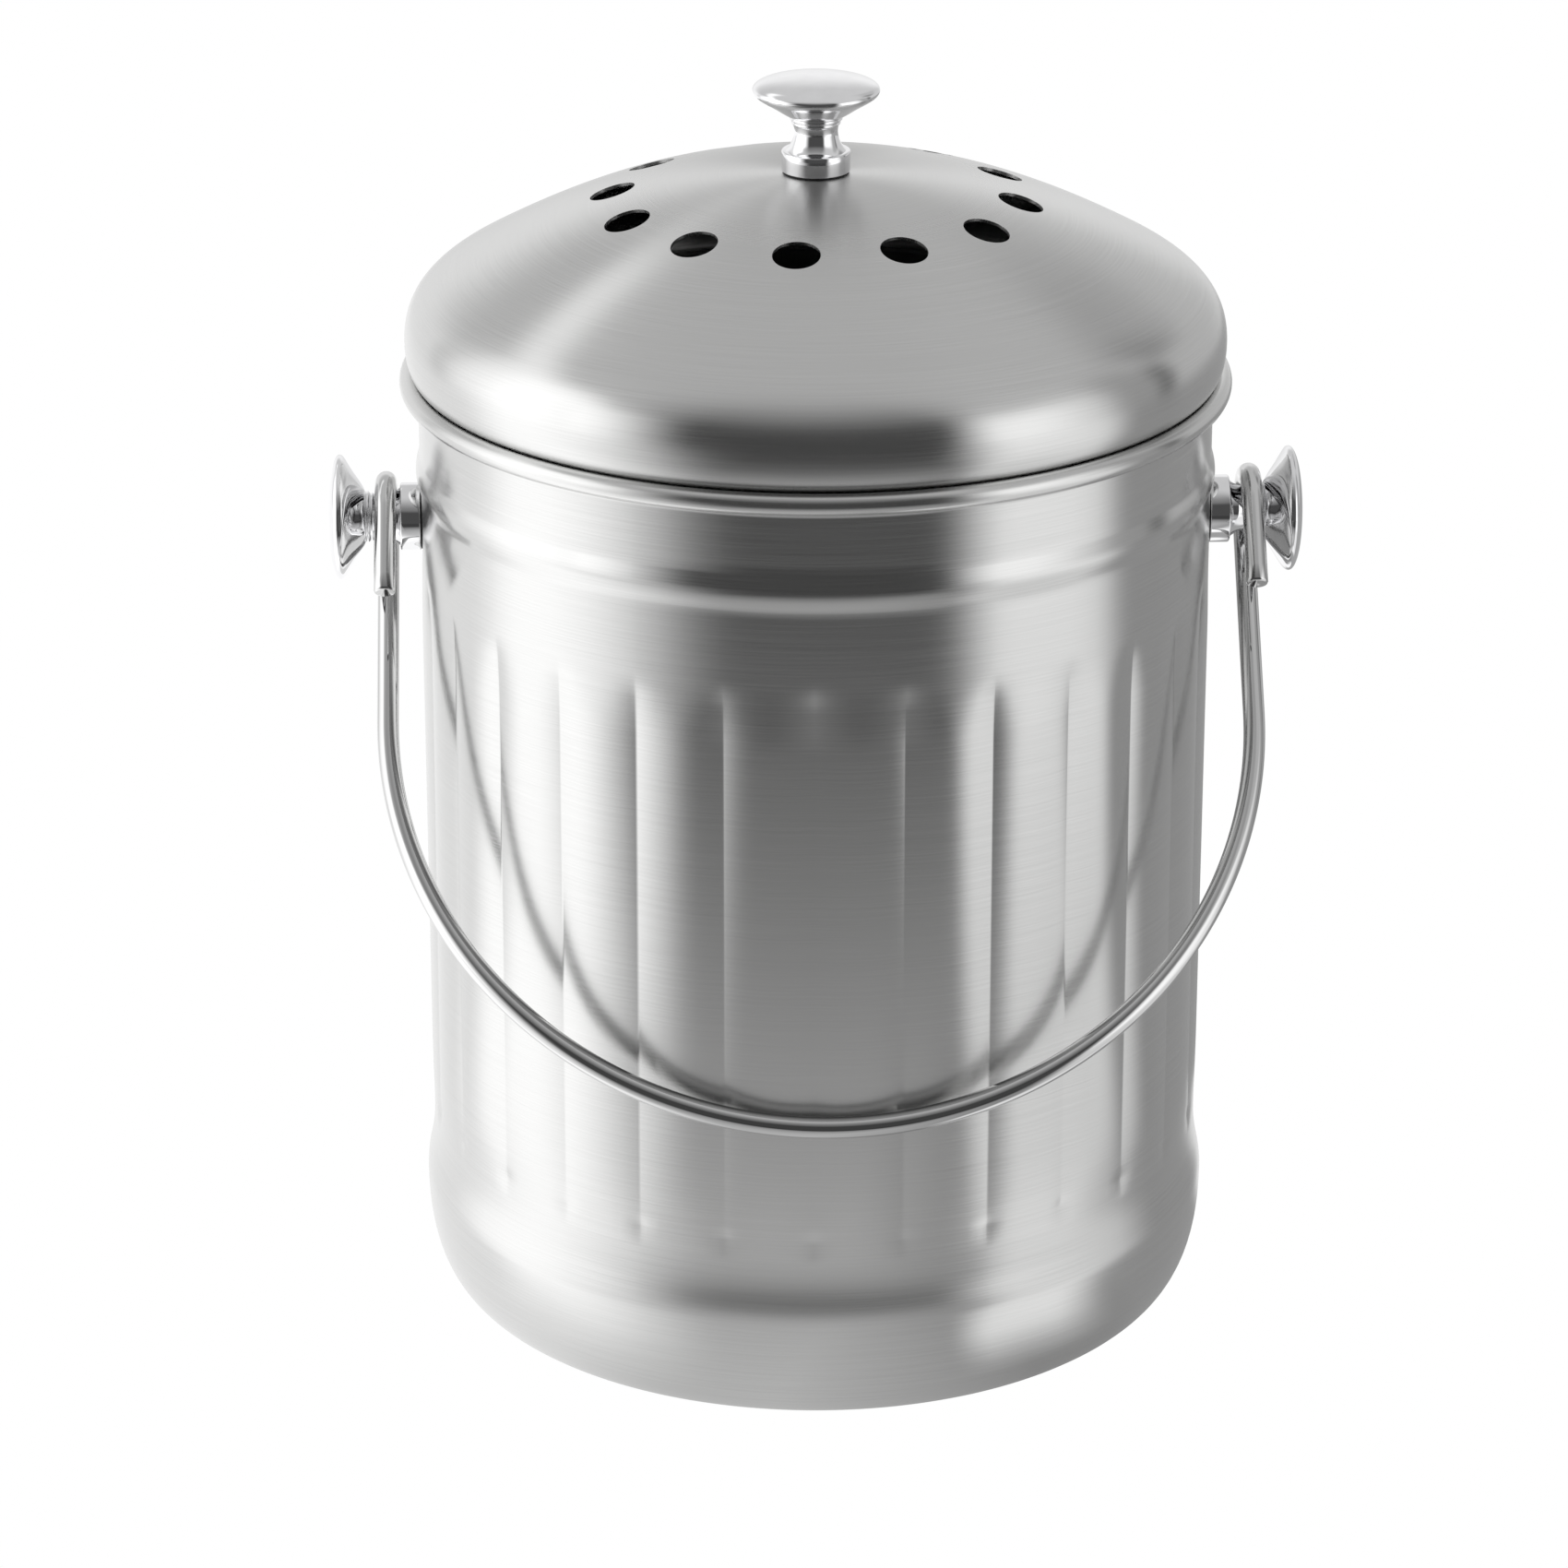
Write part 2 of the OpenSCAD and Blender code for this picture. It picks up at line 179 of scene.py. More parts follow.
def brushedSteel(name, dark, light, roughLow, roughHigh, spread, topRough=0.0):
    # Fine lines round the axis over faint bands, in colour, roughness and height. The highlight spreads across
    # the lines. Towards the axis topRough is added, where spinning leaves the sheet coarser
    material, add = newMaterial(name)
    fine = streaks(add, across=4200.0, along=30.0)
    broad = streaks(add, across=600.0, along=12.0, detail=3.0)
    half = add("ShaderNodeMix", {"Factor": 0.15, 2: fine, 3: broad}, data_type="FLOAT").outputs[0]
    colour = add("ShaderNodeMix", {"Factor": toRange(add, half, 0.0, 1.0), 6: dark, 7: light},
                 data_type="RGBA").outputs[2]
    rough = toRange(add, half, roughLow, roughHigh)
    if topRough > 0:
        place = add("ShaderNodeTexCoord").outputs["Object"]
        flat = add("ShaderNodeVectorMath", {0: place, 1: (1, 1, 0)}, operation="MULTIPLY").outputs[0]
        away = add("ShaderNodeVectorMath", {0: flat}, operation="LENGTH").outputs["Value"]
        extra = add("ShaderNodeMapRange", {"Value": away, "From Min": 0.02, "From Max": 0.06,
                                           "To Min": topRough, "To Max": 0.0}).outputs[0]
        rough = add("ShaderNodeMath", {0: rough, 1: extra}, operation="ADD").outputs[0]
    bump = add("ShaderNodeBump", {"Height": half, "Strength": 0.06, "Distance": 0.00006}).outputs[0]
    tangent = add("ShaderNodeTangent", direction_type="RADIAL", axis="Z").outputs[0]
    finishMaterial(add, colour, {"Metallic": 1.0, "Roughness": rough, "Anisotropic": spread,
                                 "Anisotropic Rotation": 0.25}, bump, tangent)
    return material


steelDark, steelLight = (0.61, 0.61, 0.605, 1), (0.67, 0.67, 0.665, 1)
bodySteel = brushedSteel("brushedSteel", steelDark, steelLight, roughLow=0.19, roughHigh=0.24, spread=0.8)
domeSteel = brushedSteel("spunSteel", steelDark, steelLight, roughLow=0.20, roughHigh=0.25, spread=0.9,
                         topRough=0.1)
innerSteel = brushedSteel("plainSteel", (0.50, 0.50, 0.50, 1), (0.60, 0.60, 0.60, 1), roughLow=0.34,
                          roughHigh=0.44, spread=0.4)


def chromePlate():
    # Mirror plate with very faint wipe marks in its colour and roughness
    material, add = newMaterial("chromePlate")
    place = add("ShaderNodeTexCoord").outputs["Object"]
    marks = add("ShaderNodeTexNoise", {"Vector": place, "Scale": 260.0, "Detail": 4.0}).outputs[0]
    colour = add("ShaderNodeMix", {"Factor": toRange(add, marks, 0.0, 1.0), 6: (0.86, 0.86, 0.87, 1),
                                   7: (0.92, 0.92, 0.93, 1)}, data_type="RGBA").outputs[2]
    finishMaterial(add, colour, {"Metallic": 1.0, "Roughness": toRange(add, marks, 0.02, 0.06)})
    return material


def polishedWire():
    # Drawn wire: faint lines along its length, from noise that is quick round the wire and slow along it
    material, add = newMaterial("polishedWire")
    around = add("ShaderNodeAttribute", attribute_name="around").outputs["Vector"]
    lines = add("ShaderNodeTexNoise", {"Vector": around, "Scale": 0.6, "Detail": 1.0}).outputs[0]
    colour = add("ShaderNodeMix", {"Factor": toRange(add, lines, 0.0, 1.0), 6: (0.60, 0.60, 0.60, 1),
                                   7: (0.70, 0.70, 0.70, 1)}, data_type="RGBA").outputs[2]
    bump = add("ShaderNodeBump", {"Height": lines, "Strength": 0.03, "Distance": 0.00002}).outputs[0]
    finishMaterial(add, colour, {"Metallic": 1.0, "Roughness": toRange(add, lines, 0.04, 0.08)}, bump)
    return material


def mattBlack(name, low, high, grain, roughLow, roughHigh, depth):
    # Dark rubber, plastic or felt: grain in colour, roughness and height
    material, add = newMaterial(name)
    place = add("ShaderNodeTexCoord").outputs["Object"]
    noise = add("ShaderNodeTexNoise", {"Vector": place, "Scale": grain, "Detail": 5.0}).outputs[0]
    colour = add("ShaderNodeMix", {"Factor": toRange(add, noise, 0.0, 1.0), 6: (low, low, low, 1),
                                   7: (high, high, high, 1)}, data_type="RGBA").outputs[2]
    bump = add("ShaderNodeBump", {"Height": noise, "Strength": 0.5, "Distance": depth}).outputs[0]
    finishMaterial(add, colour, {"Roughness": toRange(add, noise, roughLow, roughHigh)}, bump)
    return material


chrome = chromePlate()
wireSteel = polishedWire()
rubber = mattBlack("gasketRubber", low=0.012, high=0.03, grain=900.0, roughLow=0.55, roughHigh=0.75,
                   depth=0.00005)
plastic = mattBlack("blackPlastic", low=0.02, high=0.04, grain=700.0, roughLow=0.35, roughHigh=0.5,
                    depth=0.00004)
felt = mattBlack("charcoalFelt", low=0.008, high=0.035, grain=450.0, roughLow=0.85, roughHigh=1.0,
                 depth=0.0006)
print("materials made")

# Pail: one sheet from the middle of the floor out, up the fluted wall, over the rolled rim and down inside

pail = {
    "wallR": 90.8, "sheet": 0.7, "height": 225.4, "rollR": 2.45,
    "footR": 81.0, "recessR": 70.0, "recessH": 1.5, "footRise": 0.2, "lip": 1.5,
    "floorPulls": [30, 50], "stepW": 2.6, "stepEnd": 5.5, "footPull": 6.5, "cornerPull": 0.31,
    "bulgeR": 92.7, "bulgeZ": 26.0, "waistZ": 42.8, "waistPulls": [4.7, 9.4], "blendZ": 46.0,
    "beadZ": 201.7, "beadW": 9.0, "beadOut": 0.9, "beadPower": 1.4, "insideRise": 8,
    "flutes": 28, "fluteTurn": -2.1, "fluteLow": 43.0, "fluteHigh": 180.5,
    "crownOut": 0.25, "crownFade": 16, "crownEnd": 1,
    "creaseTop": 0.95, "creaseLow": 0.45, "creaseStart": 1, "creaseFull": 5, "creaseFade": 6,
    "grooveShare": 0.4, "grooveW": 2.6, "groovePower": 1.5, "dimple": 0.3, "dimpleR": 2.0, "dimpleUp": 3,
    "padX": 90.3, "padR": 8.2, "padEdge": 3.0, "padZ": 189.3, "wallBand": 3, "wallFrom": 30,
    "lowRun": 11, "highRun": 32, "lowRows": 9, "middleRows": 16, "upperRows": 36,
    "floorRows": 6, "stepRows": 8, "cornerRows": 18, "waistRows": 16, "beadRows": 15, "neckRows": 8,
    "rollRows": 30,
    "samples": [-1, -0.965, -0.88, -0.72, -0.5, -0.25, 0, 0.25, 0.5, 0.72, 0.88, 0.965],
}


def pailOutlines(p):
    # Radius and height of the outside and the inside: floor, step, foot ring, corner, waist, wall, bead and roll.
    # The roll is an arc round its own centre, and it closes on the inside of the wall
    mouthR = p["wallR"] - p["sheet"]
    rollCentre = np.array([mouthR + p["rollR"], p["height"] - p["rollR"]])
    recessR, recessH, bulgeR, bulgeZ = p["recessR"], p["recessH"], p["bulgeR"], p["bulgeZ"]
    # The two middle points of each curve are its pulls
    floor = curve([[0, recessH], [p["floorPulls"][0], recessH], [p["floorPulls"][1], recessH],
                   [recessR, recessH]], p["floorRows"])
    step = curve([[recessR, recessH], [recessR + p["stepW"], recessH],
                  [recessR + p["stepW"], p["footRise"]], [recessR + p["stepEnd"], p["footRise"]]],
                 p["stepRows"])
    corner = curve([[p["footR"], 0], [p["footR"] + p["footPull"], 0],
                    [bulgeR, bulgeZ * p["cornerPull"]], [bulgeR, bulgeZ]], p["cornerRows"])
    waist = curve([[bulgeR, bulgeZ], [bulgeR, bulgeZ + p["waistPulls"][0]],
                   [p["wallR"], p["waistZ"] - p["waistPulls"][1]], [p["wallR"], p["waistZ"]]], p["waistRows"])
    low = np.linspace(p["blendZ"], p["fluteLow"] + p["lowRun"], p["lowRows"])
    middle = np.linspace(p["fluteLow"] + p["lowRun"], p["fluteHigh"] - p["highRun"], p["middleRows"])
    upper = np.linspace(p["fluteHigh"] - p["highRun"], p["beadZ"] - p["beadW"] / 2, p["upperRows"])
    heights = np.concatenate([low, middle[1:], upper[1:]])
    # Ring bead: a power of a half cosine wave
    u = np.linspace(-1, 1, p["beadRows"])
    bead = np.stack([p["wallR"] + p["beadOut"] * np.abs(np.cos(u * math.pi / 2)) ** p["beadPower"],
                     p["beadZ"] + u * p["beadW"] / 2], 1)
    meet = math.acos((p["wallR"] - rollCentre[0]) / p["rollR"])
    a = np.linspace(-meet, math.pi, p["rollRows"])
    roll = rollCentre + p["rollR"] * np.stack([np.cos(a), np.sin(a)], 1)
    neck = np.linspace(p["beadZ"] + p["beadW"] / 2, roll[0, 1], p["neckRows"])[1:-1]
    wall = np.stack([np.full(len(heights), p["wallR"]), heights], 1)
    upright = np.stack([np.full(len(neck), p["wallR"]), neck], 1)
    lower = joined(floor, step, [[p["footR"] - p["lip"], p["footRise"]]], corner, waist, wall, bead)
    outer = joined(lower, upright, roll)
    # The inside lies one sheet in, from below the roll to the middle of the floor
    inner = movedLeft(lower, p["sheet"])[::-1]
    inner[-1, 0] = 0
    inner = joined([[mouthR, p["beadZ"] + p["insideRise"]]], inner)
    return outer, inner


def fluteShift(p, u, z):
    # Shift of the wall from its plain radius. Each panel is a parabola across, so two panels meet in a sharp
    # crease. Near its ends the panel flattens slowly, and the crease runs on as a narrow groove before it stops
    # in a small round dimple.
    low, high = p["fluteLow"], p["fluteHigh"]
    crowned = (smooth(z, low, low + p["crownFade"])
               * (1 - smooth(z, high - p["crownFade"], high - p["crownEnd"])))
    creased = (smooth(z, low + p["creaseStart"], low + p["creaseFull"])
               * (1 - smooth(z, high - p["creaseFade"], high)))
    depth = p["creaseLow"] + (p["creaseTop"] - p["creaseLow"]) * smooth(z, low, high)
    arc = (1 - np.abs(u)) * math.pi * p["wallR"] / p["flutes"]
    groove = p["grooveShare"] * (creased - crowned) * np.exp(-(arc / p["grooveW"]) ** p["groovePower"])
    foot = p["dimple"] * np.exp(-(arc / p["dimpleR"]) ** 2 - ((z - low - p["dimpleUp"]) / p["dimpleR"]) ** 2)
    return p["crownOut"] * crowned - depth * (crowned * u ** 2 + groove) - foot


def pailGrid(p, outline, padX):
    # The outline carried round the pail: x = r cos a and y = r sin a, with r shifted by the flutes. The angles
    # are denser at the creases
    k, u = np.meshgrid(np.arange(p["flutes"]), np.array(p["samples"], float), indexing="ij")
    k, u = k.ravel(), u.ravel()
    a = np.radians(p["fluteTurn"] - 90) + (k + (u + 1) / 2) * fullTurn / p["flutes"]
    a, u = np.append(a, a[0]), np.append(u, u[0])
    r, z = outline[:, :1], outline[:, 1:]
    onWall = (r > p["wallR"] - p["wallBand"]) & (z > p["wallFrom"])
    radius = r + np.where(onWall, fluteShift(p, u, z), 0)
    x, y = radius * np.cos(a), radius * np.sin(a)
    # Flat pads under the side knobs: inside the pad the wall lies in one plane, then eases back to the round
    away = np.hypot(y, z - p["padZ"])
    flat = (1 - smooth(away, p["padR"], p["padR"] + p["padEdge"])) * onWall
    x = x + flat * (np.sign(x) * padX - x)
    return np.stack([x, y, z + 0 * a], 2)


outerPail, innerPail = pailOutlines(pail)
pailSkin = np.concatenate([pailGrid(pail, outerPail, pail["padX"]),
                           pailGrid(pail, innerPail, pail["padX"] - pail["sheet"])])
pailPath = pathLength(np.concatenate([outerPail, innerPail]))[:, None]
pailBody = addPiece("pailShell", [(pailSkin, pailPath)], "pail", ["pail_body"])
pailBody.data.materials.append(bodySteel)
print("pail made,", len(pailBody.data.polygons), "faces")

# Dome: a spun sheet with twelve vents. Round each vent the grid runs from the hole's edge out to a patch of the
# ring band

dome = {
    "lidZ": 225.2, "height": 45.25, "sheet": 0.7, "domeR": 93.6, "edgeR": 91.05, "hemR": 88.0,
    "widestH": 7.5, "shoulderR": 79.6, "shoulderShare": 0.55, "slope": 0.55, "flatR": 8.2,
    "curlPulls": [2, 0.7, 3.5], "sidePull": 0.58, "crownPull": 0.35, "hemGap": 0.4, "hemTaper": 0.1,
    "vents": 12, "ventR": 5.35, "ringR": 46.35, "ventTurn": -7.3, "ventSlope": 18.0, "ventEase": 1.5,
    "bandIn": 38.0, "bandOut": 55.0, "bandGap": 0.6, "poleRadii": [5.0, 2.0, 0.0],
    "acrossSteps": 20, "upSteps": 14, "ringSteps": 9, "edgeRows": 12, "sideRows": 26, "topRows": 60,
}


def domeOutline(d):
    # Three curves: the curled edge, the side up to the shoulder, and the top to the flat under the knob
    apex = d["lidZ"] + d["height"]
    widest = d["lidZ"] + d["widestH"]
    shoulderZ = d["lidZ"] + d["shoulderShare"] * d["height"]
    pull = (d["domeR"] - d["shoulderR"]) / 2
    crown = d["crownPull"] * (d["shoulderR"] - d["flatR"])
    out, up, down = d["curlPulls"]
    edge = curve([[d["edgeR"], d["lidZ"]], [d["edgeR"] + out, d["lidZ"] + up],
                  [d["domeR"], widest - down], [d["domeR"], widest]], d["edgeRows"])
    side = curve([[d["domeR"], widest], [d["domeR"], widest + d["sidePull"] * (shoulderZ - widest)],
                  [d["shoulderR"] + pull, shoulderZ - pull * d["slope"]], [d["shoulderR"], shoulderZ]],
                 d["sideRows"])
    top = curve([[d["shoulderR"], shoulderZ], [d["shoulderR"] - crown, shoulderZ + crown * d["slope"]],
                 [d["flatR"] + crown, apex], [d["flatR"], apex]], d["topRows"])
    return edge, side, top, apex


domeEdge, domeSide, domeTop, domeApex = domeOutline(dome)
domeLine = joined(domeEdge, domeSide, domeTop, [[0, domeApex]])
domePath = pathLength(domeLine)
lineR = domeLine[::-1, 0]
lineZ = domeLine[::-1, 1]
lineS = domePath[::-1]


def domePoint(x, y, depth):
    # Point of the dome above (x, y), moved depth millimetres in, square to the sheet
    r = np.hypot(x, y)
    z = np.interp(r, lineR, lineZ)
    slope = np.interp(r + 0.5, lineR, lineZ) - np.interp(r - 0.5, lineR, lineZ)
    size = np.sqrt(1 + slope ** 2)
    inward = depth * slope / size
    safe = np.maximum(r, 1e-9)
    point = np.stack([x + inward * x / safe, y + inward * y / safe, z - depth / size], -1)
    return point, np.interp(r, lineR, lineS)


def ventPatches(d, depth, faceOut):
    # Each grid is a straight blend in plan, from the vent's oval to the border of its patch, laid on the dome
    patches = []
    half = math.pi / d["vents"]
    across, up = d["acrossSteps"], d["upSteps"]
    # Border of the patch as radius and angle, once round: along the inner side, out, back along the outer side
    # and in
    side = np.concatenate([
        np.stack([np.full(across, d["bandIn"]), np.linspace(-half, half, across + 1)[:-1]], 1),
        np.stack([np.linspace(d["bandIn"], d["bandOut"], up + 1)[:-1], np.full(up, half)], 1),
        np.stack([np.full(across, d["bandOut"]), np.linspace(half, -half, across + 1)[:-1]], 1),
        np.stack([np.linspace(d["bandOut"], d["bandIn"], up + 1)[:-1], np.full(up, -half)], 1)])
    side = np.concatenate([side, side[:1]])
    offset = side - np.array([d["ringR"], 0])
    turn = np.arctan2(offset[:, 1] * d["ringR"], offset[:, 0])
    turn[-1] = turn[0]
    reach = d["ventR"] * math.cos(math.radians(d["ventSlope"]))
    t = np.linspace(0, 1, d["ringSteps"] + 1)[:, None] ** d["ventEase"]
    for k in range(d["vents"]):
        middle = math.radians(d["ventTurn"] - 90) + 2 * half * k
        holeX = d["ringR"] + reach * np.cos(turn)
        holeY = d["ventR"] * np.sin(turn)
        # The border's corners on the dome's own circles, so neighbours share their points
        borderX = side[:, 0] * np.cos(side[:, 1])
        borderY = side[:, 0] * np.sin(side[:, 1])
        x = holeX + (borderX - holeX) * t
        y = holeY + (borderY - holeY) * t
        c, s = math.cos(middle), math.sin(middle)
        grid, path = domePoint(x * c - y * s, x * s + y * c, depth)
        patches.append((grid, path) if faceOut else (grid[::-1], path[::-1]))
    return patches


def domePatches(d):
    # Both faces of the sheet as rings outside and inside the band of vents, then the side and the curled edge
    count = d["vents"] * d["acrossSteps"]
    turn = math.radians(d["ventTurn"] - 90) - math.pi / d["vents"]
    a = ringAngles(count, turn)
    outerR = domeTop[:, 0]
    beyond = np.append(outerR[outerR > d["bandOut"] + d["bandGap"]], d["bandOut"])
    within = np.concatenate([[d["bandIn"]], outerR[outerR < d["bandIn"] - d["bandGap"]], d["poleRadii"]])
    patches = []

    def ring(radii, depth, flip):
        x, y = radii[:, None] * np.cos(a), radii[:, None] * np.sin(a)
        grid, path = domePoint(x, y, depth)
        patches.append((grid[::-1], path[::-1]) if flip else (grid, path))
        return grid

    outerTop = ring(beyond, 0.0, False)
    ring(within, 0.0, False)
    innerTop = ring(beyond, d["sheet"], True)
    ring(within, d["sheet"], True)
    # Side, curled edge and hem, as one lathe from the hem's inner end up the outside
    outside = joined([[d["hemR"], d["lidZ"]], [d["edgeR"] - d["hemGap"], d["lidZ"]]], domeEdge, domeSide)
    inside = movedLeft(outside, d["sheet"])
    outside[0, 0] += d["hemTaper"]
    low = joined(outside[:1] - [d["hemTaper"], -d["hemTaper"]], outside)
    outGrid = lathe(low, count, turn)
    outGrid[-1] = outerTop[0]
    inGrid = lathe(inside[::-1], count, turn)
    inGrid[0] = innerTop[0]
    patches.append((outGrid, pathLength(low)[:, None]))
    patches.append((inGrid, pathLength(inside)[::-1][:, None]))
    lip = np.stack([inGrid[-1], outGrid[0]])
    patches.append((lip, 0.0))
    return patches


outVents = ventPatches(dome, 0.0, True)
inVents = ventPatches(dome, dome["sheet"], False)
ventWalls = [(np.stack([inner[0][-1], outer[0][0]]), np.stack([inner[1][-1], outer[1][0]]))
             for outer, inner in zip(outVents, inVents)]
lidDome = addPiece("lidDomeShell", domePatches(dome) + outVents + inVents + ventWalls,
                   "lid", ["lid_dome"], 50)
lidDome.data.materials.append(domeSteel)
print("dome made,", len(lidDome.data.polygons), "faces")

# Knobs: turned and plated, one on the dome and one on each side pad

knob = {
    "height": 21.4, "discR": 14.4, "collarR": 7.8, "collarH": 4.7, "neckR": 4.9, "neckTop": 12.4,
    "boreR": 2.55, "boreH": 10.5, "ridgeOut": 0.4, "ridgeW": 0.8, "ridgeDepth": 0.18, "ridgeDrop": 1.6,
    "ridgeH": 1.9, "coneIn": 3.2, "coneDrop": 5.7, "rimIn": 0.35, "rimDrop": 3.7, "edgeDrop": 2.8,
    "crownFlat": 0.63, "gasketT": 0.5, "gasketR": 7.5, "gasketEdge": [0.15, 0.12], "holeR": 2.8, "columns": 144,
}


def knobOutline(k):
    # Radius and height from the end of the screw's bore, down and round the outside to the top's middle
    h, r, top = k["height"], k["discR"], k["neckTop"]
    c, ch, n = k["collarR"], k["collarH"], k["neckR"]
    neckEnd = [n + k["ridgeOut"], top - k["ridgeDrop"]]
    cone = [r - k["coneIn"], h - k["coneDrop"]]
    rim = [r - k["rimIn"], h - k["rimDrop"]]
    edge = [r, h - k["edgeDrop"]]
    # Two soft ridges between the neck and the disc, as a wave on a slope
    t = np.linspace(0, 1, 25)
    ridges = np.stack([neckEnd[0] + k["ridgeW"] * t + k["ridgeDepth"] * np.sin(2 * fullTurn * t),
                       neckEnd[1] + k["ridgeH"] * t], 1)
    # Bore and foot, collar, neck, ridges, back of the disc, its rim and its crown
    return joined(
        [[0, k["boreH"]], [k["boreR"], k["boreH"]], [k["boreR"], 0], [c - 0.45, 0]],
        curve([[c - 0.3, 0], [c - 0.1, 0], [c, 0.1], [c, 0.3]], 4),
        curve([[c, ch - 0.45], [c, ch - 0.15], [c - 0.15, ch], [c - 0.4, ch]], 4),
        curve([[c - 1.0, ch], [n + 0.9, ch + 0.9], [n - 0.6, ch + 3.6], neckEnd], 22),
        ridges,
        curve([[n + 1.25, top + 0.3], [n + 2.4, h - 8.3], [r - 5.4, h - 7.0], cone], 18),
        curve([cone, [r - 1.9, h - 4.9], [r - 0.9, h - 4.3], rim], 10),
        curve([rim, [r - 0.1, h - 3.4], [r, h - 3.1], edge], 8),
        curve([edge, [r, h - 1.1], [k["crownFlat"] * r, h], [0, h]], 26))


def stood(grid, side, base):
    # Turns a lathe made along +Z to stand on the left (-1) or right (1) pad, or keeps it upright (0)
    x, y, z = grid[..., 0], grid[..., 1], grid[..., 2]
    if side == 0:
        return np.stack([x, y, z + base], -1)
    return np.stack([side * (z + base), y, pail["padZ"] - side * x], -1)


def gasketOutline(k):
    # Radius and height of a flat ring with a small chamfer on both outer edges
    hole, r, thick = k["holeR"], k["gasketR"], k["gasketT"]
    inward, up = k["gasketEdge"]
    return np.array([[hole, 0], [r - inward, 0], [r, up], [r, thick - up], [r - inward, thick],
                     [hole, thick], [hole, 0]])


gasketLine = gasketOutline(knob)
knobLine = knobOutline(knob)
for where, side, seat, body in [("lid", 0, domeApex, "lid"), ("left", -1, pail["padX"], "pail"),
                                ("right", 1, pail["padX"], "pail")]:
    turned = stood(lathe(knobLine, knob["columns"]), side, seat + knob["gasketT"])
    piece = addPiece(where + "KnobPlated", [(turned, pathLength(knobLine)[:, None])], body,
                     [where + "_knob"], 40)
    piece.data.materials.append(chrome)
    ring = stood(lathe(gasketLine, knob["columns"]), side, seat)
    piece = addPiece(where + "GasketRing", [(ring, pathLength(gasketLine)[:, None])], body,
                     [where + "_knob_gasket"], 50)
    piece.data.materials.append(rubber)
print("knobs and gaskets made")

# Bail: round wire along short leg, hook, long leg, half circle, and the same back

bail = {
    "wireR": 2.5, "shift": 0.7, "reach": 146.3, "hookC": 10.5, "hookDrop": 2.75, "legLen": 24.0,
    "halfSpan": 99.35, "restTilt": 43.936, "chamfer": 0.6, "chamferPush": 0.15, "chamferShare": 0.35,
    "around": 24, "legRows": 6, "hookRows": 33, "downRows": 12, "gripRows": 145,
    "linesRound": 4, "linesAlong": 0.03,
}


def bailPath(b):
    # In the hanging frame: the hooks lie in planes across X, and the grip's half circle in the plane of the
    # legs. The whole wire is then tilted to its rest on the pail's front
    arcDrop = b["reach"] - b["halfSpan"]
    sides = []
    for side in (-1, 1):
        x = side * b["halfSpan"]
        leg = np.linspace(b["legLen"], b["hookDrop"], b["legRows"])[:-1]
        t = np.linspace(0, math.pi, b["hookRows"])
        down = np.linspace(b["hookDrop"], arcDrop, b["downRows"])[1:]
        sides.append(np.concatenate([
            np.stack([x + 0 * leg, 0 * leg - b["hookC"], -leg], 1),
            np.stack([x + 0 * t, -b["hookC"] * np.cos(t), -b["hookDrop"] + b["hookC"] * np.sin(t)], 1),
            np.stack([x + 0 * down, 0 * down + b["hookC"], -down], 1)]))
    t = np.linspace(0, math.pi, b["gripRows"])[1:-1]
    grip = np.stack([-b["halfSpan"] * np.cos(t), 0 * t + b["hookC"],
                     -arcDrop - b["halfSpan"] * np.sin(t)], 1)
    path = np.concatenate([sides[0], grip, sides[1][::-1]])
    tilt = math.radians(-b["restTilt"])
    y = path[:, 1] * math.cos(tilt) - path[:, 2] * math.sin(tilt)
    z = path[:, 1] * math.sin(tilt) + path[:, 2] * math.cos(tilt)
    return np.stack([path[:, 0] + b["shift"], y, z + pail["padZ"]], 1)


def wireGrid(b, path):
    # A circle carried along the path: middle + r (cos a across + sin a beside), square to the path
    along = np.gradient(path, axis=0)
    along /= np.linalg.norm(along, axis=1)[:, None]
    across = np.zeros_like(path)
    across[0] = np.cross(along[0], [1.0, 0, 0])
    # Each section turns as little as it can from the one before
    for i in range(1, len(path)):
        flat = across[i - 1] - along[i] * np.dot(across[i - 1], along[i])
        across[i] = flat / np.linalg.norm(flat)
    beside = np.cross(along, across)
    a = ringAngles(b["around"])

    def section(i, push, r):
        middle = path[i] + along[i] * push
        return middle + r * (np.cos(a)[:, None] * across[i] + np.sin(a)[:, None] * beside[i])

    r, c, last = b["wireR"], b["chamfer"], len(path) - 1
    rows = [section(i, 0, r) for i in range(1, last)]
    # The cut ends are rounded off: a middle point and three sections at each end
    ends = [(0, 0), (0, r - c), (b["chamferPush"], r - b["chamferShare"] * c), (c, r)]
    start = [section(0, push, size) for push, size in ends]
    end = [section(last, -push, size) for push, size in ends[::-1]]
    return np.array(start + rows + end), a


wirePath = bailPath(bail)
wireSkin, wireTurn = wireGrid(bail, wirePath)
wireLine = pathLength(wirePath)
endLine = np.array([0, 0, 0, bail["chamfer"]])
wireLine = np.concatenate([endLine, wireLine[1:-1], wireLine[-1] - endLine[::-1]])
# Place for the drawn lines: once round a circle for one turn of the wire, and slowly along it
wireLines = np.stack(np.broadcast_arrays(bail["linesRound"] * np.cos(wireTurn),
                                         bail["linesRound"] * np.sin(wireTurn),
                                         bail["linesAlong"] * wireLine[:, None]), 2)
bailWire = addPiece("bailWire", [(wireSkin, wireLine[:, None])], "bail", ["bail_handle"],
                    50, wireLines)
bailWire.data.materials.append(wireSteel)
print("bail made")

# Filter pad: felt, flat where it lies on the grate, crowned above with a soft rounded edge. The lumps on its
# top are products of two sine waves, one along X and one along Y

